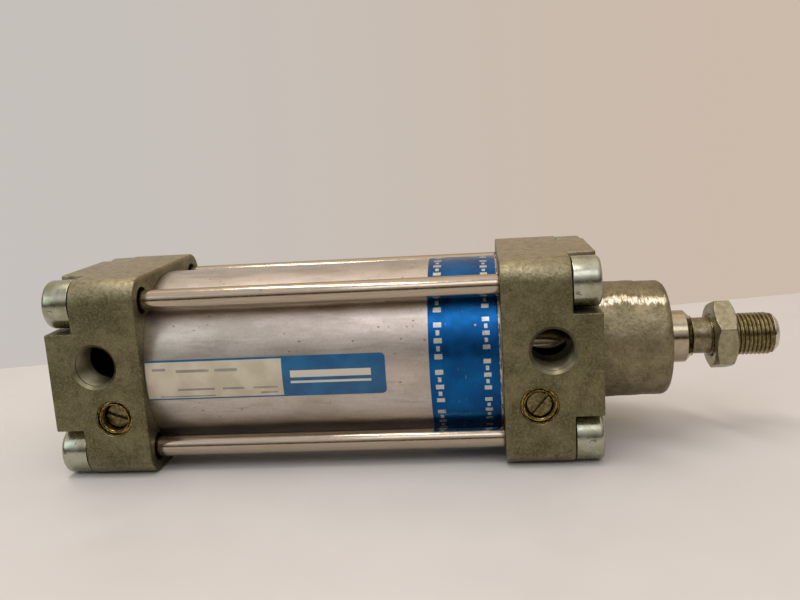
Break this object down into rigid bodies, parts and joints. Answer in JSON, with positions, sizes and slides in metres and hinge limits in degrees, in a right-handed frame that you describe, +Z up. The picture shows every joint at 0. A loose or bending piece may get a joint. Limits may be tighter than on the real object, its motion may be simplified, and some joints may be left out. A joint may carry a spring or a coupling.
{
  "type": "pneumatic cylinder",
  "caption": "Tie-rod pneumatic cylinder: square end covers, round barrel, sliding rod with threaded end and lock nut, side ports and screw-adjusted end cushioning.",
  "frame": {"origin": "centre of the bounding box on the plane that the flat undersides of both covers stand on, with the rod retracted; the rod's axis is 37.5 mm above it", "axes": "+X along the rod, out towards its threaded end; -Y towards the side with the ports, throttle screws and name plate; +Z up"},
  "size_m": [0.27, 0.075, 0.075],
  "materials": {
    "cast_aluminium": "raw die casting, satin, mottled",
    "anodised_aluminium": "natural anodised tube, satin with fine drawing lines",
    "bright_steel": "drawn bright bar, polished",
    "zinc_plate": "zinc plated, semi-bright",
    "rubber": "moulded black rubber",
    "polyurethane": "moulded polyurethane, satin",
    "bronze": "sintered bronze, dull",
    "brass": "turned brass, dulled",
    "blue_foil": "printed foil, semi-gloss",
    "name_plate": "printed foil plate, semi-gloss",
    "guide_plastic": "machined acetal, natural",
    "chromed_steel": "hard chromed and ground rod; rolled thread left bare",
    "turned_aluminium": "turned, bright",
    "magnet": "plastic-bonded magnet, matt",
    "yellow_zinc": "zinc plated with a yellowed film, dull"
  },
  "bodies": {
    "housing": {"front_cover": "cast_aluminium", "rear_cover": "cast_aluminium", "barrel": "anodised_aluminium", "tie_rod_1": "bright_steel", "tie_rod_2": "bright_steel", "tie_rod_3": "bright_steel", "tie_rod_4": "bright_steel", "front_tie_nut_1": "zinc_plate", "front_tie_nut_2": "zinc_plate", "front_tie_nut_3": "zinc_plate", "front_tie_nut_4": "zinc_plate", "rear_tie_nut_1": "zinc_plate", "rear_tie_nut_2": "zinc_plate", "rear_tie_nut_3": "zinc_plate", "rear_tie_nut_4": "zinc_plate", "front_barrel_seal": "rubber", "rear_barrel_seal": "rubber", "front_cushion_seal": "polyurethane", "rear_cushion_seal": "polyurethane", "rod_wiper_seal": "polyurethane", "rod_bearing_bush": "bronze", "front_throttle_bush": "brass", "rear_throttle_bush": "brass", "foil_band": "blue_foil", "name_plate": "name_plate"},
    "front_throttle": {"front_throttle_screw": "brass"},
    "rear_throttle": {"rear_throttle_screw": "brass"},
    "piston_seals": {"rear_piston_seal": "polyurethane", "front_piston_seal": "polyurethane", "piston_guide_ring": "guide_plastic"},
    "rod": {"piston_rod": "chromed_steel", "rear_piston_half": "turned_aluminium", "front_piston_half": "turned_aluminium", "piston_magnet_ring": "magnet", "front_cushion_sleeve": "turned_aluminium", "rear_cushion_spear": "turned_aluminium"},
    "lock_nut": {"rod_lock_nut": "yellow_zinc"}
  },
  "joints": [
    {"name": "rod_slide", "type": "slide", "parent": "housing", "child": "piston_seals", "axis": [1, 0, 0], "range_m": [0, 0.08]},
    {"name": "rod_turn", "type": "hinge", "parent": "piston_seals", "child": "rod", "pos_m": [0, 0, 0.0375], "axis": [1, 0, 0], "continuous": true},
    {"name": "lock_nut_turn", "type": "hinge", "parent": "rod", "child": "lock_nut", "pos_m": [0.1146, 0, 0.0375], "axis": [1, 0, 0], "continuous": true},
    {"name": "front_throttle_turn", "type": "hinge", "parent": "housing", "child": "front_throttle", "pos_m": [0.0433, -0.0375, 0.0235], "axis": [0, -1, 0], "range_deg": [-360, 1080]},
    {"name": "rear_throttle_turn", "type": "hinge", "parent": "housing", "child": "rear_throttle", "pos_m": [-0.1123, -0.0375, 0.0235], "axis": [0, -1, 0], "range_deg": [-720, 720]}
  ]
}
